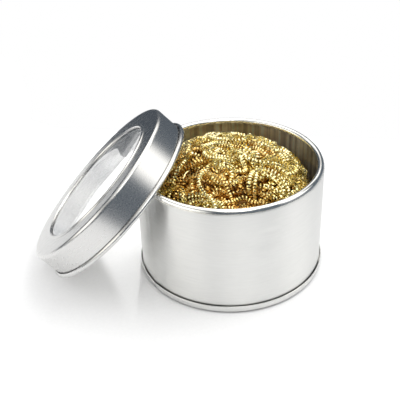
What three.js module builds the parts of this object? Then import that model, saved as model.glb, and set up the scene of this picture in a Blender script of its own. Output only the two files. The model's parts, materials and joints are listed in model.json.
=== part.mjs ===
// Tip cleaner for a soldering iron: brass wool in a round tinplate tin, with its windowed slip lid
// taken off and leaning on the rim. Millimetres, +Z up. Each piece is drawn about the tin's own axis
// or the lid's own axis, and the whole is then shifted so that the origin lies on the bench under the
// centre of its outline.
import * as THREE from "three";

// ---- driving dimensions, in millimetres and degrees ----
const gap = 0.3; // running gap between pieces that touch
const sheet = 0.3; // thickness of the tinplate
const turns = 48; // flat sides of every round piece

const tinRadius = 32; // outside of the wall
const tinHeight = 39.7; // bench to top of rim
const rimRoll = 1.1; // radius of the inward roll at the rim
const seamRadius = 32.67; // outside of the base seam
const seamHeight = 2.63;
const seamFold = 0.37; // thickness of the seam's outer fold
const panelHeight = 2.2; // bench to the underside of the recessed base panel

const lidTilt = 44; // lean of the lid's top from level
const lidFootX = -63.48; // where the lid's edge stands on the bench
const beadRadius = 0.85; // half thickness of the lid's edge bead
const beadRing = 33.16; // lid axis to the bead's centre
const skirtRadius = 32.8; // outside of the lid's skirt
const lidRise = 10.08; // bead centre to the lid's top face
const cornerRadius = 1.2; // rounding between skirt and top
const windowHole = 23.8; // radius of the hole in the lid's top
const ribInner = 24;
const ribOuter = 25.3;
const ribRise = 0.35; // height of the pressed rib round the window
const paneRadius = 27;
const paneThickness = 0.4;
const ringInner = 24.3; // window ring, under the pane's edge
const ringOuter = 30;
const ringSheet = 0.4;

const woolTop = 39.5; // crown of the packed wool
const woolDrop = 9.7; // fall of the crown over domeReach
const domeReach = 26.3;
const domeEdge = 27.5; // where the crown turns down into the side
const woolRadius = 31.2; // packed wool against the wall
const strandRadius = 1.1; // outside of a curled ribbon
const strandSides = 8;
const strandSteps = 20;
const loopOpening = 50; // degrees left open in each loop of ribbon
// rings of loops on the crown: how many, ring radius, and the loop's half size along and across it
const loopRings = [
  { count: 1, ring: 0, along: 3.3, across: 3.3 },
  { count: 5, ring: 11, along: 5, across: 4.2 },
  { count: 9, ring: 22.2, along: 6, across: 4.2 },
];

// ---- materials ----
const tinplate = new THREE.MeshStandardMaterial({ color: 0xd6d6d2, roughness: 0.32, metalness: 1 });
const lidPlate = new THREE.MeshStandardMaterial({ color: 0xc9ccd0, roughness: 0.22, metalness: 1 });
const clearSheet = new THREE.MeshStandardMaterial({
  color: 0xeef1f2,
  roughness: 0.08,
  metalness: 0,
  transparent: true,
  opacity: 0.3,
});
const brass = new THREE.MeshStandardMaterial({ color: 0xc9a45a, roughness: 0.3, metalness: 1 });
const packedBrass = new THREE.MeshStandardMaterial({ color: 0x6b5124, roughness: 0.55, metalness: 1 });

// ---- helpers ----
const radians = THREE.MathUtils.degToRad;

// Points of an arc in a profile; angles in degrees, from +radius towards +height.
function arc(centreR, centreH, radius, from, to, steps) {
  return Array.from({ length: steps + 1 }, (_, i) => {
    const angle = radians(from + ((to - from) * i) / steps);
    return [centreR + radius * Math.cos(angle), centreH + radius * Math.sin(angle)];
  });
}

// Turns a profile of [radius, height] points about Z. The profile runs with its solid on the left.
function revolve(profile) {
  const points = profile.map(([r, h]) => new THREE.Vector2(r, h));
  return new THREE.LatheGeometry(points, turns).rotateX(Math.PI / 2);
}

function closed(profile) {
  return [...profile, profile[0]];
}

function piece(name, geometry, material) {
  const mesh = new THREE.Mesh(geometry, material);
  mesh.name = name;
  return mesh;
}

// ---- the tin ----
const wallInner = tinRadius - sheet;

function tinWall() {
  const rollR = tinRadius - rimRoll;
  const rollH = tinHeight - rimRoll;
  const wallFoot = 2 * gap + 0.2;
  const meet = THREE.MathUtils.radToDeg(Math.asin((wallInner - rollR) / rimRoll)) - 90;
  return revolve(
    closed([
      [wallInner, wallFoot],
      [tinRadius, wallFoot],
      ...arc(rollR, rollH, rimRoll, 0, 360 + meet, 13),
    ]),
  );
}

// The base panel, and the upturned channel that grips the foot of the wall.
function tinBase() {
  const foldInner = seamRadius - seamFold;
  const channelInner = wallInner - gap;
  const panelEdge = channelInner - gap;
  const channelFloor = 0.5;
  return revolve([
    [0, panelHeight],
    [panelEdge, panelHeight],
    [panelEdge, 0],
    [seamRadius - 0.3, 0],
    [seamRadius, 0.35],
    [seamRadius, seamHeight - 0.3],
    [seamRadius - 0.12, seamHeight],
    [foldInner, seamHeight],
    [foldInner, channelFloor],
    [channelInner, channelFloor],
    [channelInner, panelHeight + sheet],
    [0, panelHeight + sheet],
  ]);
}

// ---- the lid, about its own axis, measured up from the centre of its edge bead ----
const skirtInner = skirtRadius - sheet;
const plateUnder = lidRise - sheet;

function lidShell() {
  const cornerR = skirtRadius - cornerRadius;
  const cornerH = lidRise - cornerRadius;
  const beadMeets = (r) => THREE.MathUtils.radToDeg(Math.acos((r - beadRing) / beadRadius));
  return revolve(
    closed([
      ...arc(cornerR, cornerH, cornerRadius - sheet, 90, 0, 3),
      ...arc(beadRing, 0, beadRadius, beadMeets(skirtInner), 360 + beadMeets(skirtRadius), 11),
      ...arc(cornerR, cornerH, cornerRadius, 0, 90, 4),
      [ribOuter, lidRise],
      [ribOuter - 0.3, lidRise + ribRise],
      [ribInner + 0.3, lidRise + ribRise],
      [ribInner, lidRise],
      [windowHole, lidRise],
      [windowHole, plateUnder],
    ]),
  );
}

const paneTop = plateUnder - gap;
const paneUnder = paneTop - paneThickness;

function lidWindow() {
  return revolve([
    [0, paneUnder],
    [paneRadius, paneUnder],
    [paneRadius, paneTop],
    [0, paneTop],
  ]);
}

// A stepped ring: its inner flange holds the pane up, its outer land lies under the lid's top.
function windowRing() {
  const stepInner = paneRadius + gap;
  const flangeTop = paneUnder - gap;
  return revolve(
    closed([
      [ringInner, flangeTop - ringSheet],
      [stepInner + ringSheet, flangeTop - ringSheet],
      [stepInner + ringSheet, paneTop - ringSheet],
      [ringOuter, paneTop - ringSheet],
      [ringOuter, paneTop],
      [stepInner, paneTop],
      [stepInner, flangeTop],
      [ringInner, flangeTop],
    ]),
  );
}

// ---- the brass wool ----
function crownHeight(r) {
  return woolTop - woolDrop * (r / domeReach) ** 3;
}

function woolCore() {
  const floor = panelHeight + sheet + gap + 0.05;
  const crown = [1, 0.9, 0.8, 0.68, 0.54, 0.36, 0].map((share) => {
    const r = domeEdge * share;
    return [r, crownHeight(r)];
  });
  return revolve([[0, floor], [30, floor], [woolRadius, floor + 1.2], [woolRadius, 22], [29.9, 25.5], ...crown]);
}

// One open loop of curled ribbon, lying on the crown.
class CrownLoop extends THREE.Curve {
  constructor(ring, bearing, along, across) {
    super();
    Object.assign(this, { ring, bearing, along, across });
  }

  getPoint(t, target = new THREE.Vector3()) {
    const angle = radians(loopOpening / 2 + (360 - loopOpening) * t);
    const out = this.ring + this.across * Math.cos(angle);
    const side = this.along * Math.sin(angle);
    const flat = new THREE.Vector2(out, side).rotateAround(new THREE.Vector2(), this.bearing);
    const r = flat.length();
    const slope = (3 * woolDrop * r ** 2) / domeReach ** 3;
    const lift = strandRadius + gap + 0.2;
    const stretch = r > 0 ? 1 + (lift * slope) / Math.hypot(1, slope) / r : 1;
    return target.set(flat.x * stretch, flat.y * stretch, crownHeight(r) + lift / Math.hypot(1, slope));
  }
}

function strand({ ring, along, across }, bearing) {
  const section = new THREE.Shape();
  section.absarc(0, 0, strandRadius, 0, 2 * Math.PI);
  return new THREE.ExtrudeGeometry(section, {
    extrudePath: new CrownLoop(ring, bearing, along, across),
    steps: strandSteps,
    curveSegments: strandSides / 2,
  });
}

// ---- assembly ----
const tin = new THREE.Group();
tin.add(piece("tin_wall", tinWall(), tinplate), piece("tin_base", tinBase(), tinplate));

const wool = new THREE.Group();
wool.add(piece("wool_core", woolCore(), packedBrass));
let strandNumber = 0;
for (const ring of loopRings) {
  for (let i = 0; i < ring.count; i += 1) {
    strandNumber += 1;
    const bearing = radians(180 + (360 * i) / ring.count);
    const name = `wool_strand_${String(strandNumber).padStart(2, "0")}`;
    wool.add(piece(name, strand(ring, bearing), brass));
  }
}

const lid = new THREE.Group();
lid.add(
  piece("lid_shell", lidShell(), lidPlate),
  piece("lid_window", lidWindow(), clearSheet),
  piece("window_ring", windowRing(), lidPlate),
);
const lean = radians(lidTilt);
lid.rotation.y = -lean;
lid.position.set(lidFootX + beadRing * Math.cos(lean), 0, beadRadius + beadRing * Math.sin(lean));

const tipCleaner = new THREE.Group();
tipCleaner.add(tin, wool, lid);
const outline = new THREE.Box3().setFromObject(tipCleaner, true);
tipCleaner.position.x = -(outline.min.x + outline.max.x) / 2;

export default tipCleaner;
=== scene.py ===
# Brass-wool tip cleaner for a soldering iron: a tinplate tin of curled brass ribbon, its windowed lid
# leaning on the rim. Outlines and paths are written in millimetres about the tin's or the lid's own
# axis. Meshes are in metres.
import json
import math

import bpy
import numpy as np
from mathutils import Matrix, Vector


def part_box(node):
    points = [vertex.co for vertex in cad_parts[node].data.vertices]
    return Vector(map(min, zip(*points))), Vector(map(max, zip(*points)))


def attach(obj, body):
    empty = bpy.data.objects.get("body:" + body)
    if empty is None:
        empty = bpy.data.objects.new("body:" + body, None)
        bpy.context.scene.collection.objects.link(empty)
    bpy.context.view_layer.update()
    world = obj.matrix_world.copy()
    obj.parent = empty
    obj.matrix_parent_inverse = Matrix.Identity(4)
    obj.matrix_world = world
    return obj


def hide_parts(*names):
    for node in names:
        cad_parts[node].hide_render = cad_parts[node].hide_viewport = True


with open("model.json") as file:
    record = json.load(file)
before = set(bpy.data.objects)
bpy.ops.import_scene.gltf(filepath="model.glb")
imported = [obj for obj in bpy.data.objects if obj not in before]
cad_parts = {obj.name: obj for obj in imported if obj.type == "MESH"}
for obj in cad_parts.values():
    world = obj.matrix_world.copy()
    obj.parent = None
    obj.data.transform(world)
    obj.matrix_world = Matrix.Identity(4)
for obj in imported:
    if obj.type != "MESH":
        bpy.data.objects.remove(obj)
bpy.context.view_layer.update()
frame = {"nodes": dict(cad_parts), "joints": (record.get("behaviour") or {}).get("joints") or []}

MM = 0.001
DEG = math.pi / 180

# ---- where the tin and the lid stand, from the frame ----
wall_low, wall_high = (Vector(corner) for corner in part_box("tin_wall"))
pane_low, pane_high = (Vector(corner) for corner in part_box("lid_window"))
TIN_AXIS_X = (wall_low.x + wall_high.x) / 2
RIM = wall_high.z / MM
lid_axis = Vector(next(joint for joint in frame["joints"] if joint["name"] == "lid_lift")["axis"])
LID_LEAN = math.atan2(-lid_axis.x, lid_axis.z)
PANE_HEIGHT = 9.28  # bead centre to the middle of the pane
TIN_PLACE = Matrix.Translation((TIN_AXIS_X, 0, 0))
LID_PLACE = (
    Matrix.Translation((pane_low + pane_high) / 2 - lid_axis * PANE_HEIGHT * MM)
    @ Matrix.Rotation(-LID_LEAN, 4, "Y")
)

# ---- driving sizes, in millimetres ----
SHEET = 0.28  # thickness of the tinplate
TIN_RADIUS = 32.0
CURL = 1.05  # radius of the rim's roll
SEAM_RADIUS = 32.67  # outside of the base seam
SEAM_TOP = 2.63
SEAM_FOLD = 0.35  # thickness of the seam's outer fold
PANEL = 2.2  # underside of the base panel
BEAD_RING = 33.16  # lid axis to the centre of the edge bead
BEAD = 0.85  # half thickness of the edge bead
SKIRT = 32.8  # outside of the lid's skirt
LID_RISE = 10.08  # bead centre to the lid's top face
SHOULDER = 1.2  # rounding between skirt and top
WINDOW_HOLE = 23.8
RIB_INNER = 24.0
RIB_OUTER = 25.3
RIB_RISE = 0.3
PANE_RADIUS = 27.0
PANE_THICKNESS = 0.4
PANE_TOP = PANE_HEIGHT + PANE_THICKNESS / 2
PLAY = 0.3  # between the pane and its ring


# ---- outlines ----
def arc(centre_r, centre_h, radius, start, end, steps=10):
    """Points of an arc; angles in degrees, from outwards towards upwards."""
    angles = np.linspace(start, end, steps + 1) * DEG
    return [(centre_r + radius * math.cos(a), centre_h + radius * math.sin(a)) for a in angles]


def rounded(corners, steps=4):
    """The outline through (radius, height, fillet) corners, each softened over its fillet.

    A fillet takes up less than half of either side beside it.
    """
    longest_share = 0.45
    points = []
    count = len(corners)
    for i, (r, h, fillet) in enumerate(corners):
        here = np.array((r, h))
        if fillet == 0:
            points.append((r, h))
            continue
        before = np.array(corners[i - 1][:2]) - here
        after = np.array(corners[(i + 1) % count][:2]) - here
        start = here + before * min(longest_share, fillet / np.linalg.norm(before))
        end = here + after * min(longest_share, fillet / np.linalg.norm(after))
        for t in np.linspace(0, 1, steps + 1):
            points.append(tuple((1 - t) ** 2 * start + 2 * t * (1 - t) * here + t**2 * end))
    return points


# ---- meshes ----
def make_piece(name, points, faces, body, place, material, smooth_angle=50):
    """A mesh piece from points in millimetres, with its own coordinates kept for its material."""
    mesh = bpy.data.meshes.new(name)
    points = np.asarray(points, dtype=np.float64)
    mesh.vertices.add(len(points))
    mesh.vertices.foreach_set("co", (points * MM).ravel())
    faces = np.asarray(faces, dtype=np.int32)
    sides = faces.shape[1]
    mesh.loops.add(faces.size)
    mesh.loops.foreach_set("vertex_index", faces.ravel())
    mesh.polygons.add(len(faces))
    mesh.polygons.foreach_set("loop_start", np.arange(len(faces)) * sides)
    local = mesh.attributes.new("local", "FLOAT_VECTOR", "POINT")
    local.data.foreach_set("vector", points.ravel())
    mesh.update(calc_edges=True)
    mesh.validate()
    mesh.polygons.foreach_set("use_smooth", np.ones(len(mesh.polygons), dtype=bool))
    mesh.set_sharp_from_angle(angle=smooth_angle * DEG)
    mesh.materials.append(material)
    piece = bpy.data.objects.new(name, mesh)
    bpy.context.scene.collection.objects.link(piece)
    piece.matrix_world = place
    bpy.context.view_layer.update()
    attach(piece, body)
    return piece


def turned(name, outline, body, place, material, around=192, shape=None, smooth_angle=50):
    """A closed outline of (radius, height) points turned about the axis.

    shape(angle, radii, heights) may move the points.
    """
    r, h = np.array(outline).T
    angle = np.linspace(0, 2 * math.pi, around, endpoint=False)
    radii, heights = np.tile(r, (around, 1)), np.tile(h, (around, 1))
    if shape:
        radii, heights = shape(angle[:, None], radii, heights)
    points = np.stack([radii * np.cos(angle)[:, None], radii * np.sin(angle)[:, None], heights], -1)
    along = len(outline)
    i, j = np.meshgrid(np.arange(around), np.arange(along), indexing="ij")
    i_next, j_next = (i + 1) % around, (j + 1) % along
    here, beyond = i * along, i_next * along
    faces = np.stack([here + j, beyond + j, beyond + j_next, here + j_next], -1).reshape(-1, 4)
    return make_piece(name, points.reshape(-1, 3), faces, body, place, material, smooth_angle)


def plate(name, top, thickness, body, place, material, around=128):
    """A round sheet. top has the (radius, height) points of its upper face, from the middle out."""
    r, h = np.array(top).T
    angle = np.linspace(0, 2 * math.pi, around, endpoint=False)
    points = [(0, 0, h[0]), (0, 0, h[0] - thickness)]
    for shift in (0, -thickness):
        for radius, height in zip(r[1:], h[1:]):
            points += [(radius * math.cos(a), radius * math.sin(a), height + shift) for a in angle]
    rings = len(r) - 1
    upper, under = 0, 1

    def first(face, ring):
        """Number of the first point of a ring."""
        return 2 + (face * rings + ring) * around

    triangles = []
    for i in range(around):
        n = (i + 1) % around
        triangles.append((upper, first(upper, 0) + i, first(upper, 0) + n))
        triangles.append((under, first(under, 0) + n, first(under, 0) + i))
        for ring in range(rings - 1):
            a, b = first(upper, ring), first(upper, ring + 1)
            triangles += [(a + i, b + i, b + n), (a + i, b + n, a + n)]
            a, b = first(under, ring), first(under, ring + 1)
            triangles += [(a + i, b + n, b + i), (a + i, a + n, b + n)]
        a, b = first(upper, rings - 1), first(under, rings - 1)  # the edge
        triangles += [(a + i, b + i, b + n), (a + i, b + n, a + n)]
    return make_piece(name, points, triangles, body, place, material, smooth_angle=25)


# ---- nodes ----
class Nodes:
    """A node tree built a node at a time."""

    def __init__(self, tree):
        self.tree = tree

    def fill(self, socket, value):
        """Links a socket to another node's output, or sets it."""
        if isinstance(value, bpy.types.NodeSocket):
            self.tree.links.new(value, socket)
        else:
            socket.default_value = value

    def node(self, kind, *inputs, **settings):
        """Adds a node, fills its inputs in order, and returns it."""
        made = self.tree.nodes.new(kind)
        for key, value in settings.items():
            setattr(made, key, value)
        for socket, value in zip(made.inputs, inputs):
            self.fill(socket, value)
        return made

    def math(self, operation, *inputs):
        return self.node("ShaderNodeMath", *inputs, operation=operation).outputs[0]

    def vector_math(self, operation, *inputs):
        return self.node("ShaderNodeVectorMath", *inputs, operation=operation).outputs[0]

    def spread(self, value, low, high, to_low, to_high):
        """Maps low..high to to_low..to_high, smoothly and clamped."""
        limits = (low, high, to_low, to_high)
        return self.node("ShaderNodeMapRange", value, *limits, interpolation_type="SMOOTHSTEP").outputs[0]

    def blend(self, factor, first, second):
        """The first colour where factor is 0, the second where it is 1."""
        made = self.node("ShaderNodeMix", factor, data_type="RGBA")
        self.fill(made.inputs[6], first)
        self.fill(made.inputs[7], second)
        return made.outputs[2]


# ---- materials ----
class Finish(Nodes):
    """A material, whose nodes can read the piece's own coordinates in millimetres."""

    def __init__(self, name):
        self.material = bpy.data.materials.new(name)
        self.material.use_nodes = True
        super().__init__(self.material.node_tree)
        self.surface = self.tree.nodes["Principled BSDF"]
        self.local = self.node("ShaderNodeAttribute", attribute_name="local").outputs["Vector"]

    def noise(self, vector, scale=1.0, detail=3.0, roughness=0.5, w=None, distortion=0.0):
        """A noise texture's value. w is its fourth coordinate, if it has one."""
        made = self.node("ShaderNodeTexNoise", noise_dimensions="3D" if w is None else "4D")
        self.tree.links.new(vector, made.inputs["Vector"])
        if w is not None:
            self.tree.links.new(w, made.inputs["W"])
        made.inputs["Scale"].default_value = scale
        made.inputs["Detail"].default_value = detail
        made.inputs["Roughness"].default_value = roughness
        made.inputs["Distortion"].default_value = distortion
        return made.outputs["Fac"]

    def ramp(self, value, stops):
        """A colour ramp through (place, colour) stops."""
        made = self.node("ShaderNodeValToRGB", value)
        elements = made.color_ramp.elements
        while len(elements) < len(stops):
            elements.new(0.5)
        for element, (place, colour) in zip(elements, stops):
            element.position = place
            element.color = (*colour, 1)
        return made.outputs["Color"]

    def bump(self, height, strength, distance, normal=None):
        """A bumped normal. height times distance, in metres, is how far the surface stands out."""
        made = self.node("ShaderNodeBump", strength, distance)
        self.tree.links.new(height, made.inputs["Height"])
        if normal is not None:
            self.tree.links.new(normal, made.inputs["Normal"])
        return made.outputs["Normal"]

    def set(self, **values):
        """Sets or links the shader's sockets, named with underscores for spaces."""
        for key, value in values.items():
            self.fill(self.surface.inputs[key.replace("_", " ")], value)


def grain_round(finish, radius, turn, round_scale, level_scale):
    """Noise drawn out round the axis; turn is the direction from the axis, of length 1."""
    level = finish.vector_math("MULTIPLY", finish.local, (0, 0, level_scale))
    spread_round = finish.vector_math("MULTIPLY", turn, (round_scale,) * 3)
    place = finish.vector_math("ADD", spread_round, level)
    return finish.noise(place, 1.0, 3, 0.6, w=finish.math("MULTIPLY", radius, level_scale))


def grain_straight(finish, scales):
    """Noise drawn out along the direction of the smallest scale."""
    return finish.noise(finish.vector_math("MULTIPLY", finish.local, scales), 1.0, 3, 0.6)


def wear_and_paint_wall(finish, colour, rough, x, z, radius, turn):
    """Streaks the wall's inside from top to bottom, partly as scores and partly as painted reflection,
    tints it with a painted golden reflection of the wool, and polishes the rim.
    """
    outside = finish.spread(radius, TIN_RADIUS - SHEET + 0.06, TIN_RADIUS - 0.05, 0.0, 1.0)
    rim = finish.spread(z, RIM - CURL - 0.3, RIM - CURL + 0.1, 0.0, 1.0)
    inside = finish.math("SUBTRACT", 1.0, finish.math("MAXIMUM", outside, rim))
    # Vertical streaks on the inside, partly scores and partly painted reflection: they brighten the colour
    # as well as darken it.
    streak_noise = finish.noise(finish.vector_math("MULTIPLY", turn, (17,) * 3), 1.0, 2, 0.6)
    scores_and_painted_streaks = finish.math("MULTIPLY_ADD", finish.spread(streak_noise, 0.34, 0.64, -0.32, 0.3), inside, 1.0)
    colour = finish.vector_math("MULTIPLY", colour, scores_and_painted_streaks)
    rim_gloss = finish.math("SUBTRACT", 1.0, finish.math("MULTIPLY", rim, 0.5))
    rough = finish.math("MULTIPLY", rough, rim_gloss)
    rough = finish.math("MULTIPLY", rough, finish.math("MULTIPLY_ADD", inside, 0.1, 1.0))
    # Painted reflection: a golden tint that stands for the wool mirrored in the wall, strongest low down
    # and towards the left.
    wool_reflection_tint = finish.vector_math("MULTIPLY", colour, (1.25, 1.08, 0.74))
    wool_reflection_share = finish.math("MULTIPLY", inside, finish.spread(z, 33.0, RIM - CURL, 1.0, 0.4))
    wool_reflection_share = finish.math("MULTIPLY", wool_reflection_share, finish.spread(x, 8.0, 30.0, 1.0, 0.3))
    return finish.blend(wool_reflection_share, colour, wool_reflection_tint), rough


def tinplate(name, tone, roughness, rolled_round, grain_depth=1.0, worn_painted_wall=False, low_shade=None):
    """Rolled tinplate: a fine grain with longer streaks, cloudy tin and rubbed specks.

    The darkening low down is two heights, between which painted shade by the fold and at the table
    clears, and how dark it is at its darkest. A wall with a marked inside is also brushed round its axis.
    """
    finish = Finish(name)
    x, y, z = finish.node("ShaderNodeSeparateXYZ", finish.local).outputs
    if rolled_round:
        squares = [finish.math("MULTIPLY", part, part) for part in (x, y)]
        radius = finish.math("SQRT", finish.math("ADD", *squares))
        turn = finish.vector_math("NORMALIZE", finish.vector_math("MULTIPLY", finish.local, (1, 1, 0)))
        grain = grain_round(finish, radius, turn, 9, 7)
        streak = grain_round(finish, radius, turn, 5, 1.6)
    else:
        grain = grain_straight(finish, (0.3, 6.0, 6.0))
        streak = grain_straight(finish, (0.14, 1.5, 1.5))
    cloud = finish.noise(finish.local, 0.09, 3, 0.55, distortion=0.3)
    speck = finish.noise(finish.local, 1.1, 2, 0.5)
    shade = finish.math("ADD", finish.math("MULTIPLY", streak, 0.6), finish.math("MULTIPLY", cloud, 0.4))
    dull = tuple((1 - 0.06 * grain_depth) * part for part in tone)
    colour = finish.ramp(shade, [(0.36, dull), (0.62, tone)])
    # Painted shade: the colour darkens low down, by the seam's fold on the wall and along the base's edge
    # on the table.
    if low_shade:
        shade_height = finish.math("ADD", z, finish.math("MULTIPLY", cloud, 0.3))
        low, high, darkest = low_shade
        unshaded = finish.spread(shade_height, low, high, darkest, 1.0)
        colour = finish.vector_math("MULTIPLY", colour, unshaded)
    smoothest, roughest = roughness * (1 - 0.08 * grain_depth), roughness * (1 + 0.1 * grain_depth)
    rubbed = finish.spread(speck, 0.66, 0.8, 0.0, 0.05 * grain_depth)
    rough = finish.math("ADD", finish.spread(streak, 0.35, 0.7, smoothest, roughest), rubbed)
    if worn_painted_wall:
        colour, rough = wear_and_paint_wall(finish, colour, rough, x, z, radius, turn)
    wave = finish.noise(finish.local, 0.05, 1, 0.4)
    waves = finish.bump(wave, 0.1, 0.2 * MM)
    streaks = finish.bump(streak, 0.05, 0.01 * MM * grain_depth, waves)
    grained = finish.bump(grain, 0.06, 0.005 * MM * grain_depth, streaks)
    finish.set(Base_Color=colour, Metallic=1.0, Roughness=rough, Normal=grained)
    if worn_painted_wall:
        tangent = finish.node("ShaderNodeTangent", direction_type="RADIAL", axis="Z").outputs[0]
        finish.set(Anisotropic=1.0, Anisotropic_Rotation=0.25, Tangent=tangent)
    return finish.material


def brass(name, bright, deep, tarnish_and_shade, roughness):
    """Turned brass ribbon: pale where rubbed, browner with tarnish, and browner still as painted shade
    where it lies deep below the crown, with chatter marks.
    """
    finish = Finish(name)
    stain = finish.noise(finish.local, 0.16, 3, 0.6)
    fleck = finish.noise(finish.local, 1.4, 2, 0.5)
    shade = finish.math("ADD", finish.math("MULTIPLY", stain, 0.7), finish.math("MULTIPLY", fleck, 0.3))
    shade_depth = finish.node("ShaderNodeAttribute", attribute_name="shade_depth").outputs["Fac"]
    # Painted shade: the deeper a point lies below the crown, the browner it is painted.
    shade = finish.math("SUBTRACT", shade, finish.spread(shade_depth, 1.5, 6.5, 0.0, 0.3))
    colour = finish.ramp(shade, [(0.12, tarnish_and_shade), (0.38, deep), (0.54, bright)])
    chatter = finish.noise(finish.local, 7.0, 2, 0.6)
    finish.set(
        Base_Color=colour,
        Metallic=1.0,
        Roughness=finish.spread(fleck, 0.35, 0.7, roughness * 0.8, roughness * 1.35),
        Normal=finish.bump(chatter, 0.3, 0.02 * MM),
    )
    return finish.material


def clear_sheet():
    """Clear plastic sheet with a faint haze, a few scuffs and a slight sag."""
    finish = Finish("clear_sheet")
    haze = finish.noise(finish.local, 0.2, 3, 0.6)
    scuff = finish.noise(finish.vector_math("MULTIPLY", finish.local, (0.5, 4.0, 1.0)), 1.0, 2, 0.5)
    sag = finish.noise(finish.local, 0.045, 1, 0.4)
    finish.set(
        Base_Color=finish.ramp(haze, [(0.3, (0.93, 0.94, 0.95)), (0.7, (0.98, 0.985, 0.99))]),
        Roughness=finish.spread(scuff, 0.6, 0.85, 0.015, 0.04),
        Normal=finish.bump(sag, 0.1, 0.3 * MM),
        Transmission_Weight=1.0,
        IOR=1.6,
    )
    return finish.material


def paper():
    """White table paper with a soft tooth."""
    finish = Finish("table_paper")
    place = finish.node("ShaderNodeTexCoord").outputs["Object"]
    tooth = finish.noise(place, 900, 3, 0.6)
    finish.set(
        Base_Color=finish.ramp(tooth, [(0.3, (0.9, 0.9, 0.9)), (0.7, (0.93, 0.93, 0.93))]),
        Roughness=0.95,
        Specular_IOR_Level=0.0,
    )
    return finish.material


# The low heights given to the wall and the base paint shade by the seam's fold and at the table.
TIN_FINISH = tinplate("tinplate", (0.84, 0.84, 0.82), 0.3, True, worn_painted_wall=True, low_shade=(2.7, 3.5, 0.3))
BASE_FINISH = tinplate("tinplate_base", (0.75, 0.75, 0.735), 0.24, True, low_shade=(0.2, 0.8, 0.12))
LID_FINISH = tinplate("lid_plate", (0.68, 0.675, 0.665), 0.27, False, grain_depth=0.25)
RING_FINISH = tinplate("window_ring", (0.7, 0.7, 0.69), 0.3, False)
PANE_FINISH = clear_sheet()
# Each finish runs from bright through deep to its darkest colour, which ribbons reach by tarnish and by
# painted shade below the crown.
RIBBON_FINISHES = [
    brass("brass_pale", (0.97, 0.9, 0.53), (0.91, 0.77, 0.34), (0.64, 0.39, 0.12), 0.16),
    brass("brass_gold", (0.96, 0.86, 0.45), (0.9, 0.71, 0.26), (0.58, 0.32, 0.09), 0.18),
    brass("brass_deep", (0.95, 0.77, 0.35), (0.85, 0.55, 0.16), (0.48, 0.24, 0.06), 0.2),
]
# The packed wool is painted dark brass as the shade deep among the curls.
CORE_FINISH = brass("brass_packed_shade", (0.42, 0.25, 0.07), (0.18, 0.09, 0.025), (0.12, 0.06, 0.02), 0.5)


# ---- camera ----
def make_camera():
    """Stands where the photograph was taken from."""
    eye = Vector((TIN_AXIS_X + 8.68 * MM, -201.46 * MM, 154.16 * MM))
    down, yaw, roll = 32.9336 * DEG, -5.3915 * DEG, -2.6986 * DEG
    look = Vector((math.sin(yaw) * math.cos(down), math.cos(yaw) * math.cos(down), -math.sin(down)))
    right = look.cross(Vector((0, 0, 1))).normalized()
    up = right.cross(look)
    right_rolled = math.cos(roll) * right + math.sin(roll) * up
    up_rolled = -math.sin(roll) * right + math.cos(roll) * up
    data = bpy.data.cameras.new("camera")
    data.lens = 61.78
    data.sensor_width = 36
    data.clip_start = 10 * MM
    camera = bpy.data.objects.new("camera", data)
    bpy.context.scene.collection.objects.link(camera)
    axes = Matrix((right_rolled, up_rolled, -look)).transposed()
    camera.matrix_world = Matrix.Translation(eye) @ axes.to_4x4()
    bpy.context.scene.camera = camera


# ---- the tin ----
SEAM_BEARING = -142 * DEG  # where the wall's side seam stands


def from_seam(angle):
    """Degrees from the side seam."""
    return np.abs((angle - SEAM_BEARING + math.pi) % (2 * math.pi) - math.pi) / DEG


def wall_marks(angle, radii, heights):
    """Stands the wall proud by the lap of its side seam, and ripples its inside as rolling left it."""
    lap_half, lap_slope, lap_rise, ripple_depth = 1.8, 0.6, 0.07, 0.012
    lap = np.clip(lap_half - from_seam(angle), 0, lap_slope) / lap_slope
    below_rim = heights < RIM - CURL - 0.3
    outside = (radii > TIN_RADIUS - 0.02) & below_rim
    inside = (radii < TIN_RADIUS - 0.2) & below_rim
    ripple = np.sin(53 * angle) + 0.8 * np.sin(71 * angle + 1) + 0.7 * np.sin(34 * angle + 2)
    return radii + lap_rise * lap * outside + ripple_depth * ripple * inside, heights


def tin_wall():
    """The wall with its hollow rim, which is rolled inwards from a short neck."""
    neck, slope = 0.4, 25  # how far the roll draws in above the wall, and how steeply
    foot, roll_end = 0.8, 300  # the wall's lower edge, and the angle where the roll's sheet ends
    ring_r, ring_h = TIN_RADIUS - neck - CURL * math.cos(slope * DEG), RIM - CURL
    neck_foot = ring_h + CURL * math.sin(slope * DEG) - neck / math.tan(slope * DEG)
    outline = [(TIN_RADIUS, foot), *[(TIN_RADIUS, h) for h in np.linspace(3, neck_foot - 0.3, 8)]]
    outline += [(TIN_RADIUS - 0.03, neck_foot)]
    outline += arc(ring_r, ring_h, CURL, slope, roll_end, 26)
    outline += arc(ring_r, ring_h, CURL - SHEET, roll_end, 0, 22)
    outline += [(TIN_RADIUS - SHEET, h) for h in np.linspace(ring_h - 0.4, foot, 6)]
    return turned("tin_wall_sheet", outline, "tin", TIN_PLACE, TIN_FINISH, around=480, shape=wall_marks)


def juncture(angle, radii, heights):
    """Draws the base seam in and down where it crosses the side seam."""
    half_width, draws_in, draws_down = 2.6, 0.18, 0.55
    swell = np.exp(-((from_seam(angle) / half_width) ** 2)) * (radii > SEAM_RADIUS - 0.5)
    return radii - draws_in * swell, heights - draws_down * swell * (heights > 1.5)


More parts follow.
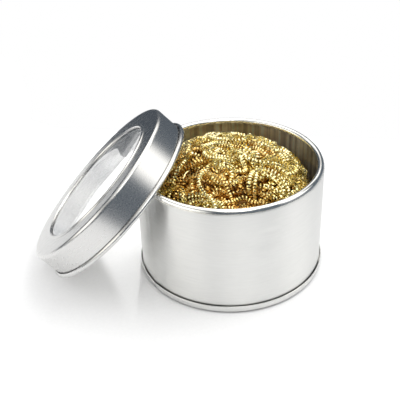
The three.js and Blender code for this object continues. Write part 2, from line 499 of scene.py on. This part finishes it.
def tin_base():
    """The base: a panel with a groove pressed round it, and the channel that grips the wall's foot."""
    foot_inner, channel, channel_floor = TIN_RADIUS - 0.9, TIN_RADIUS - 0.6, 0.5
    sheet, step = 0.3, 0.5
    step_start, step_low, step_up, step_end = 22.0, 22.8, foot_inner - 2.2, foot_inner - 1.6
    fold_inner = SEAM_RADIUS - SEAM_FOLD
    outline = rounded(
        [
            (0.01, PANEL, 0),
            (step_start, PANEL, 0.6),
            (step_low, PANEL - step, 0.6),
            (step_up, PANEL - step, 0.6),
            (step_end, PANEL, 0.5),
            (foot_inner, PANEL, 0.3),
            (foot_inner, 0, 0.25),
            (SEAM_RADIUS - 0.5, 0, 0.25),
            (SEAM_RADIUS - 0.08, 0.7, 0.5),
            (SEAM_RADIUS, 1.7, 0.5),
            (SEAM_RADIUS, SEAM_TOP, 0.45),
            (fold_inner, SEAM_TOP, 0.15),
            (fold_inner, channel_floor, 0),
            (channel, channel_floor, 0),
            (channel, PANEL + sheet, 0.1),
            (step_end, PANEL + sheet, 0.5),
            (step_up, PANEL + sheet - step, 0.6),
            (step_low, PANEL + sheet - step, 0.6),
            (step_start, PANEL + sheet, 0.6),
            (0.01, PANEL + sheet, 0),
        ]
    )
    return turned("tin_base_seam", outline, "tin", TIN_PLACE, BASE_FINISH, around=288, shape=juncture)


# ---- the lid ----
def meets(r, radius):
    """Angle in degrees at which a circle about the bead's centre reaches r from the lid's axis."""
    return math.acos((r - BEAD_RING) / radius) / DEG


def lid_shell():
    """The shell: shoulder, skirt, rolled bead, the inside up to the window's lip, and the pressed rib."""
    inside, under = SKIRT - SHEET, LID_RISE - SHEET
    hollow, roll_end = BEAD - SHEET, 450  # the bead's inside, and the angle where its sheet ends
    shoulder_r, shoulder_h = SKIRT - SHOULDER, LID_RISE - SHOULDER
    rib_middle, rib_half = (RIB_INNER + RIB_OUTER) / 2, (RIB_OUTER - RIB_INNER) / 2
    rib_foot, lip_outer, lip = RIB_OUTER + 0.4, WINDOW_HOLE + SHEET, PANE_TOP + 0.04
    skirt_run = np.linspace(shoulder_h - 0.3, BEAD + 0.2, 7)
    outline = arc(shoulder_r, shoulder_h, SHOULDER, 90, 0, 9)
    outline += [(SKIRT, h) for h in skirt_run]
    outline += arc(BEAD_RING, 0, hollow, meets(SKIRT, hollow), roll_end, 20)
    outline += arc(BEAD_RING, 0, BEAD, roll_end, meets(inside, BEAD), 24)
    outline += [(inside, h) for h in skirt_run[::-1]]
    outline += arc(shoulder_r, shoulder_h, SHOULDER - SHEET, 0, 90, 7)
    outline += [(rib_foot, under), (lip_outer, under), (lip_outer, lip), (WINDOW_HOLE, lip)]
    outline += [(WINDOW_HOLE, lip + 0.3), (WINDOW_HOLE + 0.06, LID_RISE - 0.08), (RIB_INNER, LID_RISE)]
    for share, lift in ((-0.72, 0.9), (-0.55, 1), (0, 1.04), (0.55, 1), (0.72, 0.9)):
        outline.append((rib_middle + rib_half * share, LID_RISE + RIB_RISE * lift))
    outline += [(RIB_OUTER, LID_RISE), (rib_foot, LID_RISE)]
    outline += [(r, LID_RISE) for r in np.linspace(RIB_OUTER + 1.5, shoulder_r - 0.5, 5)]
    return turned("lid_shell_sheet", outline, "lid", LID_PLACE, LID_FINISH, around=288, smooth_angle=28)


def lid_window():
    """The clear pane: its middle is pressed up into the window's hole and bulges a little."""
    stand, bulge, raised = 0.32, 0.03, WINDOW_HOLE - 0.2
    top = [(r, PANE_TOP + stand + bulge * (1 - (r / raised) ** 2)) for r in np.linspace(0, raised, 9)]
    top += [(WINDOW_HOLE - 0.06, PANE_TOP + stand - 0.14), (WINDOW_HOLE - 0.04, PANE_TOP + 0.02)]
    top += [(r, PANE_TOP) for r in (WINDOW_HOLE + 0.1, PANE_RADIUS - 1.5, PANE_RADIUS)]
    return plate("lid_window_pane", top, PANE_THICKNESS, "lid", LID_PLACE, PANE_FINISH)


def window_ring():
    """The stepped ring that holds the pane up: flange under the pane, land under the lid's top."""
    inner, outer, sheet = 24.3, 30.0, 0.4
    step_inner = PANE_RADIUS + PLAY
    step_outer = step_inner + sheet
    flange = PANE_TOP - PANE_THICKNESS - PLAY
    outline = rounded(
        [
            (inner, flange - sheet, 0.15),
            (step_outer, flange - sheet, 0.15),
            (step_outer, PANE_TOP - sheet, 0.15),
            (outer, PANE_TOP - sheet, 0.1),
            (outer, PANE_TOP, 0.1),
            (step_inner, PANE_TOP, 0.15),
            (step_inner, flange, 0.15),
            (inner, flange, 0.1),
        ]
    )
    return turned("window_ring_sheet", outline, "lid", LID_PLACE, RING_FINISH)


# ---- the wool ----
CROWN = 43.9  # height of the even top in the middle
CROWN_DROP = 9.7  # its fall over CROWN_REACH
CROWN_REACH = 26.2
CROWN_LEAN = 0.026  # rise per millimetre towards the back and the lid
WOOL_RADIUS = 27.5
CURL_ROOM = 0.98  # half the room a curled ribbon takes up
STEP = 1.2  # spacing of the points along a ribbon's path
HOLLOWS = (  # where the curls sink: x, y, radius, depth
    (9.5, -17.0, 5.0, 4.4),
    (3.5, -19.5, 3.6, 3.6),
    (-9.0, -6.5, 3.6, 3.2),
    (6.0, -6.5, 4.2, 3.6),
    (-1.0, 2.0, 3.8, 3.2),
    (-17.5, -14.0, 5.0, 2.6),
)
rng = np.random.default_rng(3)


def crown(x, y):
    """Height of the even top of the wool."""
    return CROWN - CROWN_DROP * (np.hypot(x, y) / CROWN_REACH) ** 3 + CROWN_LEAN * (y - x)


def lumps(x, y):
    """How far the curls stand above or sink below the even crown."""
    height = 0.3
    swell = np.sin(x / 3.4 + 1.1) * np.sin(y / 4.1 + 0.4)
    swell += 0.7 * np.sin((x + y) / 2.9 + 2.0) * np.sin((x - y) / 5.1)
    hollow = sum(depth * np.exp(-((x - a) ** 2 + (y - b) ** 2) / size**2) for a, b, size, depth in HOLLOWS)
    return height * swell - height - hollow


def steered(place, heading, reach_limit):
    """Extra turn, in radians per millimetre, that brings a path back when it nears the wall."""
    firmness = 0.1
    reach = math.hypot(*place)
    if reach < reach_limit:
        return 0
    inwards = math.atan2(-place[1], -place[0])
    swing = (inwards - heading + math.pi) % (2 * math.pi) - math.pi
    return firmness * np.sign(swing) * (reach - reach_limit)


def ribbon_path(length, start, heading, level, first_run=0, first_size=1, loop_sizes=(4.0, 7.0)):
    """A ribbon's path: runs that bend gently and dive under others, between loops that lie on top.

    It may open with a run of set length, which bends to the right with the radius first_size, or to the
    left if that is negative.
    """
    loop_dive, run_dive, opening_share = 0.6, 2.6, 0.2  # how far it goes under its level
    loop_tightening, loop_margin, run_margin = 0.35, 2.0, 3.5
    limit = WOOL_RADIUS - CURL_ROOM
    place = np.array(start, dtype=float)
    path, travelled, looping = [], 0, first_run == 0
    stretch, bend, steady = first_run, -1 / first_size, first_run > 0
    while travelled < length:
        if looping:
            size = rng.uniform(*loop_sizes)
            stretch = 2 * math.pi * size * rng.uniform(0.7, 1.8)
            left = place + size * np.array((-math.sin(heading), math.cos(heading)))
            right = 2 * place - left
            bend = (1 if np.hypot(*left) < np.hypot(*right) else -1) / size
        elif not steady:
            stretch = rng.uniform(12, 34)
            bend = rng.choice((-1, 1)) / rng.uniform(12, 40)
        for k in range(max(2, int(stretch / STEP))):
            share = k * STEP / stretch
            dive = loop_dive if looping else run_dive * math.sin(math.pi * min(share, 1)) ** 2
            path.append((*place, level + dive * (opening_share if steady else 1)))
            turn = bend * (1 + (loop_tightening * share if looping else 0))
            if not steady:
                turn += steered(place, heading, WOOL_RADIUS - (loop_margin if looping else run_margin))
            heading += turn * STEP
            place = place + STEP * np.array((math.cos(heading), math.sin(heading)))
            place = place * min(1, limit / max(np.hypot(*place), 1e-6))
            travelled += STEP
        looping, steady = not looping, False
    x, y, below = np.array(path[: int(length / STEP)]).T
    below = np.convolve(np.pad(below, 3, mode="edge"), np.ones(7) / 7, "valid")
    return np.stack([x, y, crown(x, y) - below], -1)


def neighbours(points, owner, near, block_size=800):
    """Numbers of the pairs of points nearer than near, but not of points close by along one path."""
    pairs = []
    for start in range(0, len(points), block_size):
        block = points[start : start + block_size]
        gap = np.linalg.norm(block[:, None] - points[None], axis=2)
        first, second = np.nonzero(gap < near)
        first += start
        apart = (owner[first] != owner[second]) | (second - first > 4)
        keep = (second > first) & apart
        pairs.append(np.stack([first[keep], second[keep]], -1))
    return np.concatenate(pairs).T


def settle(paths, rounds=60):
    """Pushes crossing paths apart until the curls lie on one another, below the crown, off the wall."""
    search_every, search_margin = 6, 1.5
    push_share, lift_share, longest_move, smoothing, pull_share = 0.35, 0.15, 0.6, 0.25, 0.3
    points = np.concatenate(paths)
    owner = np.repeat(np.arange(len(paths)), [len(p) for p in paths])
    linked = owner[1:] == owner[:-1]
    inner = np.zeros(len(points), dtype=bool)
    inner[1:-1] = linked[1:] & linked[:-1]
    room, limit = 2 * CURL_ROOM, WOOL_RADIUS - CURL_ROOM
    for turn in range(rounds):
        if turn % search_every == 0:
            first, second = neighbours(points, owner, room + search_margin)
        away = points[first] - points[second]
        gap = np.linalg.norm(away, axis=1)
        overlap = np.clip(room - gap, 0, None)
        push = overlap[:, None] * away / (gap[:, None] + 1e-6) * push_share
        push[:, 2] += lift_share * overlap * np.sign(away[:, 2] + 1e-9)
        move = np.zeros_like(points)
        for axis in range(3):
            move[:, axis] += np.bincount(first, push[:, axis], len(points))
            move[:, axis] -= np.bincount(second, push[:, axis], len(points))
        points += np.clip(move, -longest_move, longest_move)
        middle = np.zeros_like(points)
        middle[1:-1] = (points[2:] + points[:-2]) / 2 - points[1:-1]
        points[inner] += smoothing * middle[inner]
        span = points[1:] - points[:-1]
        length = np.linalg.norm(span, axis=1)
        pull = ((length - STEP) / (length + 1e-9) * pull_share)[:, None] * span * linked[:, None]
        points[:-1] += pull
        points[1:] -= pull
        reach = np.hypot(points[:, 0], points[:, 1])
        points[:, :2] *= np.minimum(1, limit / np.maximum(reach, 1e-6))[:, None]
        top = crown(points[:, 0], points[:, 1]) + lumps(points[:, 0], points[:, 1]) - CURL_ROOM
        points[:, 2] = np.minimum(points[:, 2], top)
    return [points[owner == i] for i in range(len(paths))]


def resampled(path, spacing):
    """The path as a smooth curve with evenly spaced points."""
    smooth = path.copy()
    for _ in range(2):
        smooth[1:-1] = (smooth[:-2] + 2 * smooth[1:-1] + smooth[2:]) / 4
    run = np.concatenate([[0], np.cumsum(np.linalg.norm(np.diff(smooth, axis=0), axis=1))])
    at = np.arange(0, run[-1], spacing)
    coarse = np.stack([np.interp(at, run, smooth[:, axis]) for axis in range(3)], -1)
    window = max(3, int(STEP / spacing) | 1)
    kernel = np.hanning(window + 2)[1:-1]
    kernel /= kernel.sum()
    padded = np.pad(coarse, ((window // 2, window // 2), (0, 0)), mode="edge")
    return np.stack([np.convolve(padded[:, axis], kernel, "valid") for axis in range(3)], -1)


def unit(vectors):
    """The vectors at length 1."""
    return vectors / np.maximum(np.linalg.norm(vectors, axis=-1, keepdims=True), 1e-9)


def carried_frames(path):
    """Tangent and two side directions carried along a path without twisting."""
    tangent = unit(np.gradient(path, axis=0))
    side = np.empty_like(path)
    side[0] = unit(np.cross(tangent[0], (0.3, 0.2, 1.0)))
    for i in range(1, len(path)):
        carried = side[i - 1] - tangent[i] * (side[i - 1] @ tangent[i])
        side[i] = carried / np.linalg.norm(carried)
    return tangent, side, np.cross(tangent, side)


def slow_noise(count, spacing, wave):
    """Smooth random values of about -1 to 1 that change over a wave's length."""
    knots = rng.uniform(-1, 1, int(count * spacing / wave) + 3)
    return np.interp(np.arange(count) * spacing / wave, np.arange(len(knots)), knots)


def strip(centre, width_way, face_way, width, thickness):
    """Points and faces of a thin closed ribbon along a line of centres."""
    corners = []
    for across, out in ((-1, -1), (1, -1), (1, 1), (-1, 1)):
        corners.append(centre + across * width[:, None] / 2 * width_way + out * thickness / 2 * face_way)
    points = np.stack(corners, 1).reshape(-1, 3)
    ring = np.arange(len(centre) - 1)[:, None] * 4
    faces = []
    for k in range(4):
        after = (k + 1) % 4
        faces.append(np.concatenate([ring + k, ring + after, ring + 4 + after, ring + 4 + k], 1))
    last = (len(centre) - 1) * 4
    caps = np.array([[3, 2, 1, 0], [last, last + 1, last + 2, last + 3]])
    return points, np.concatenate([*faces, caps])


def curl(path, radius, pitch, width, thickness=0.06, segments=12):
    """A ribbon wound on a path like a lathe turning. Its radius, pitch, tilt and width keep changing."""
    spacing = pitch / segments
    line = resampled(path, spacing)
    count = len(line)
    tangent, side, other = carried_frames(line)
    stretch = 1 + 0.22 * slow_noise(count, spacing, 7)
    angle = np.cumsum(np.full(count, 2 * math.pi / segments) / np.clip(stretch, 0.6, 2))
    size = radius * (1 + 0.1 * slow_noise(count, spacing, 6) + 0.04 * slow_noise(count, spacing, 0.7))
    out = np.cos(angle)[:, None] * side + np.sin(angle)[:, None] * other
    centre = line + size[:, None] * out
    run = unit(np.gradient(centre, axis=0))
    tilt = (0.3 + 0.18 * slow_noise(count, spacing, 9))[:, None]
    wide = unit(tangent - run * np.sum(tangent * run, 1, keepdims=True))
    wide = unit(wide + tilt * np.cross(run, wide))
    face = np.cross(run, wide)
    widths = width * (1 + 0.2 * slow_noise(count, spacing, 2.5))
    return strip(centre, wide, face, widths, thickness)


def bare_ribbon(path, width, thickness=0.07):
    """A stretch of ribbon that has lost its curl, with narrow ends."""
    spacing, narrowing, tip = 0.25, 5, 0.3
    line = resampled(path, spacing)
    count = len(line)
    tangent, side, other = carried_frames(line)
    roll = 0.45 * slow_noise(count, spacing, 6) + rng.uniform(-0.5, 0.5)
    wide = np.cos(roll)[:, None] * side + np.sin(roll)[:, None] * other
    from_end = np.minimum(np.arange(count), np.arange(count)[::-1]) + 1
    widths = width * (tip + (1 - tip) * np.minimum(1, from_end / narrowing))
    return strip(line, wide, np.cross(tangent, wide), widths, thickness)


def joined(parts):
    """Several (points, faces) as one."""
    points, faces, offset = [], [], 0
    for part_points, part_faces in parts:
        points.append(part_points)
        faces.append(part_faces + offset)
        offset += len(part_points)
    return np.concatenate(points), np.concatenate(faces)


# How each upper ribbon sets out: x, y, heading, radius of its bend to the right, length of that run,
# and the pitch of its curl.
OPENINGS = (
    (-22.8, 12.1, 62, 25.8, 62, 1.35),
    (-20.4, 11.8, 60, 23.5, 58, 1.25),
    (-14.2, 15.8, 42, 21.2, 46, 1.15),
    (17.0, 20.2, -40, 26.4, 46, 1.2),
    (17.3, 16.7, -46, 24.1, 40, 1.1),
    (23.8, -10.6, -114, 26.0, 44, 1.1),
    (-6.6, 2.0, 90, 5.6, 36, 1.15),
    (-8.8, 2.5, 90, 7.8, 44, 1.2),
    (8.8, 3.0, 90, 4.2, 26, 1.1),
    (6.7, 3.0, 90, 6.3, 38, 1.2),
    (-6.0, -20.0, 42, 40.0, 24, 1.05),
    (-3.5, -22.0, 40, 60.0, 24, 0.95),
    (-24.0, -4.0, -80, -24.0, 40, 1.2),
    (-16.0, -20.0, -39, -25.6, 42, 1.2),
    (-12.0, -9.0, 10, 12.0, 22, 1.05),
)


def scattered(i, bearing_step, first_bearing, nearest, span, first_share):
    """Bearing and place of one of several starts, spread over the crown by golden-ratio steps."""
    bearing = i * bearing_step + first_bearing
    reach = nearest + span * ((i * 0.618 + first_share) % 1)
    return bearing, (reach * math.cos(bearing), reach * math.sin(bearing))


def wool_paths():
    """The ribbons over the crown, and the deeper ones that fill under them."""
    deep_ribbons = 9
    paths = []
    for i, (x, y, heading, size, run, _) in enumerate(OPENINGS):
        paths.append(ribbon_path(225, (x, y), heading * DEG, 1.2 + 0.35 * (i % 3), run, size))
    for i in range(deep_ribbons):
        bearing, start = scattered(i, 1.9, 0.7, 6, 19, 0.3)
        paths.append(ribbon_path(250, start, bearing, 4.2 + 1.3 * (i % 3), loop_sizes=(6, 12)))
    return paths


def hook(length, size, start, heading):
    """A short path that bends round and runs on nearly straight, among the topmost curls."""
    level, tucked, bent_share = 0.45, 0.5, 0.6
    place, path = np.array(start, dtype=float), []
    for k in range(int(length / STEP) + 1):
        path.append((*place, level + tucked * (k == 0)))
        heading += STEP / size * (1 if k * STEP < length * bent_share else 0.2)
        place = place + STEP * np.array((math.cos(heading), math.sin(heading)))
    x, y, below = np.array(path).T
    return np.stack([x, y, crown(x, y) + lumps(x, y) - below], -1)


def wool_piece(name, points, faces, material):
    """A piece of the wool that knows how far each point lies below the crown, which its material browns as
    painted shade.
    """
    piece = make_piece(name, points, faces, "wool", TIN_PLACE, material, 60)
    x, y, z = np.asarray(points).T
    shade_depth = piece.data.attributes.new("shade_depth", "FLOAT", "POINT")
    shade_depth.data.foreach_set("value", crown(x, y) - z)
    return piece


def wool():
    """The curled ribbons, whose upper ones stand in for the CAD strands, and the loose ones on top."""
    deep_pitch, crowding, width_share, loose_ribbons = 1.2, 0.93, 0.38, 30
    paths = settle(wool_paths())
    strands = sorted(name for name in frame["nodes"] if name.startswith("wool_strand_"))
    for i, path in enumerate(paths):
        top = i < len(OPENINGS)
        # Deeper ribbons take only the gold and deep finishes, as painted shade for lying lower.
        finish = RIBBON_FINISHES[i % 3 if top else 2 - i % 2]
        pitch = OPENINGS[i][-1] if top else deep_pitch
        radius, segments = rng.uniform(0.74, 0.97), 12 if top else 9
        shape = curl(path, radius, crowding * pitch, width_share * pitch, segments=segments)
        piece = wool_piece(f"ribbon_{i + 1:02d}", *shape, finish)
        if top:
            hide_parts(strands[i])
    loose = []
    for i in range(loose_ribbons):
        _, start = scattered(i, 2.4, 0.4, 3, 20, 0.1)
        path = hook(rng.uniform(4, 9), rng.uniform(1.4, 3.4), start, rng.uniform(0, 6.28))
        loose.append(bare_ribbon(path, rng.uniform(0.3, 0.5)))
    piece = wool_piece("ribbon_loose", *joined(loose), RIBBON_FINISHES[0])


def wool_core():
    """The packed mass under the curls, lumpy as crushed turnings are, painted dark as the shade deep in the
    wool.
    """
    around, top_levels, side_levels = 120, 48, 12
    below_crown, side, floor, belly = 7.5, WOOL_RADIUS - 1.2, 3.8, 0.8
    lump_out, lump_up, even_foot = 0.35, 0.45, 2.2
    outline = [(r, crown(r, 0) - below_crown) for r in side * np.linspace(0.02, 1, top_levels)]
    for k, h in enumerate(np.linspace(outline[-1][1] - 1, floor, side_levels)):
        outline.append((side + belly * math.sin(k / side_levels * math.pi), h))
    points, faces = [], []
    for k, (r, h) in enumerate(outline):
        for j in range(around):
            a = 2 * math.pi * j / around
            lump = math.sin(5 * a + 0.7 * k) * math.sin(0.9 * k + 2 * a) + 0.6 * math.sin(13 * a - 1.3 * k)
            reach = r - lump_out * lump * (r > 2)
            height = h + lump_up * lump * (h > floor + even_foot)
            points.append((reach * math.cos(a), reach * math.sin(a), height))
    points += [(0, 0, outline[0][1]), (0, 0, floor)]
    middle_top, middle_floor = len(points) - 2, len(points) - 1
    last = (len(outline) - 1) * around
    for j in range(around):
        n = (j + 1) % around
        for ring in range(0, last, around):
            faces.append((ring + j, ring + around + j, ring + around + n))
            faces.append((ring + j, ring + around + n, ring + n))
        faces.append((middle_top, j, n))
        faces.append((middle_floor, last + n, last + j))
    return wool_piece("wool_packed", points, faces, CORE_FINISH)


# ---- studio ----
def direction(bearing, height):
    """The direction at a bearing, in degrees from +Y towards +X, and a height in degrees above level."""
    b, h = bearing * DEG, height * DEG
    return Vector((math.sin(b) * math.cos(h), math.cos(b) * math.cos(h), math.sin(h)))


def place_light(data, place, aim):
    """Stands a light at a place, turned to its aim. The metals don't mirror it."""
    light = bpy.data.objects.new(data.name, data)
    bpy.context.scene.collection.objects.link(light)
    light.location = place
    light.rotation_mode = "QUATERNION"
    light.rotation_quaternion = (place - aim).to_track_quat("Z", "Y")
    light.visible_camera = False
    light.visible_glossy = False
    return light


def make_key():
    """The soft key light over the right, which gives the shadows on the table."""
    data = bpy.data.lights.new("key_over_right", "AREA")
    data.size = 450 * MM
    data.energy = 1.2
    bearing, height, distance = 74, 60, 700
    aim = Vector((0, 0, 20)) * MM
    place_light(data, aim + direction(bearing, height) * distance * MM, aim)


def make_spot():
    """A small spot from behind on the table under the lid, which is as bright in the photograph."""
    data = bpy.data.lights.new("under_lid", "SPOT")
    data.energy = 6.2
    data.spot_size = 11 * DEG
    data.spot_blend = 0.15
    data.shadow_soft_size = 12 * MM
    place, aim = Vector((-30, 280, 115)) * MM, Vector((-24, 49, 0)) * MM
    light = place_light(data, place, aim)
    light.visible_transmission = False


class Sky(Nodes):
    """The world, whose colour depends on the direction looked in."""

    def __init__(self, name):
        self.world = bpy.data.worlds.new(name)
        self.world.use_nodes = True
        super().__init__(self.world.node_tree)
        self.tree.nodes.clear()
        self.way = self.node("ShaderNodeTexCoord").outputs["Generated"]

    def along(self, axis):
        """How much of the direction looked in lies along an axis: 1 along it, 0 across it."""
        return self.node("ShaderNodeVectorMath", self.way, axis, operation="DOT_PRODUCT").outputs["Value"]

    def softbox(self, bearing, height, half_width, half_height):
        """1 inside an upright soft box in that direction, 0 away from it. All are in degrees."""
        across, up = direction(bearing + 90, 0), direction(bearing, height + 90)
        squares = []
        for axis, half in ((across, half_width), (up, half_height)):
            share = self.math("DIVIDE", self.along(axis), math.sin(half * DEG))
            squares.append(self.math("POWER", share, 2.0))
        inside = self.spread(self.math("ADD", *squares), 0.35, 1.6, 1.0, 0.0)
        facing = self.spread(self.along(direction(bearing, height)), 0.0, 0.2, 0.0, 1.0)
        return self.math("MULTIPLY", inside, facing)


def make_world():
    """White behind and on the table; in the metals, soft boxes in a dim room under a bright ceiling."""
    sky = Sky("studio")
    bpy.context.scene.world = sky.world
    to_right = sky.spread(sky.along((1, 0, 0)), -0.6, 0.8, 0.0, 1.0)
    overhead = sky.spread(sky.along((0, 0, 1)), 0.6, 0.8, 0.0, 1.0)
    room = sky.blend(to_right, (0.055, 0.07, 0.09, 1), (0.12, 0.145, 0.175, 1))
    for *place, light in (  # bearing, height, half width, half height, colour
        (91, 28, 22, 14, (1.95, 1.93, 1.88, 1)),
        (-115, 20, 40, 16, (1.9, 1.86, 1.76, 1)),
        (-10, 40, 38, 11, (1.7, 1.66, 1.6, 1)),
    ):
        room = sky.blend(sky.softbox(*place), room, light)
    ceiling = sky.blend(overhead, room, (0.95, 0.95, 0.93, 1))
    for bearing, height, half in ((75, 60, 18), (-10, 66, 22), (165, 58, 17)):
        ceiling = sky.blend(sky.softbox(bearing, height, half, half), ceiling, (3.0, 2.95, 2.8, 1))
    white = (1, 1, 1, 1)
    studio = sky.node("ShaderNodeBackground", ceiling).outputs[0]
    backdrop = sky.node("ShaderNodeBackground", white).outputs[0]
    fill = sky.node("ShaderNodeBackground", white, 1.16).outputs[0]
    rays = sky.node("ShaderNodeLightPath").outputs
    seen = sky.node("ShaderNodeMixShader", rays["Is Diffuse Ray"], backdrop, fill).outputs[0]
    mirrored = sky.node("ShaderNodeMixShader", rays["Is Glossy Ray"], seen, studio).outputs[0]
    sky.node("ShaderNodeOutputWorld", mirrored)


def make_floor():
    """A white table, round in front. Its back left edge shows in the lid's window, as in the photograph."""
    middle, radius, drop = -45, 215, 0.2
    edge = arc(0, middle, radius, -180, 36, 60)
    edge += [(-70, 100), (-88, 110), (-101, 147), (-114, 178), (-121, 191), (-130, 198), (-137, 208)]
    edge += [(-142, 217), (-151, 250), (-156, 272), (-165, 300), (-172, 285), (-166, 222), (-154, 165)]
    edge += [(-146, 100), (-200, 60)]
    mesh = bpy.data.meshes.new("table")
    mesh.from_pydata([(x * MM, y * MM, 0) for x, y in edge], [], [tuple(range(len(edge)))])
    mesh.materials.append(paper())
    floor = bpy.data.objects.new("table", mesh)
    floor.location.z = -drop * MM
    bpy.context.scene.collection.objects.link(floor)


make_camera()
make_world()
make_floor()
make_key()
make_spot()
bpy.context.scene.view_settings.view_transform = "Standard"

for make, node, slot in (
    (tin_wall, "tin_wall", "tinplate"),
    (tin_base, "tin_base", "tinplate"),
    (lid_shell, "lid_shell", "lid_plate"),
    (lid_window, "lid_window", "clear_sheet"),
    (window_ring, "window_ring", "lid_plate"),
    (wool_core, "wool_core", "packed_wool"),
):
    piece = make()
    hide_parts(node)
wool()
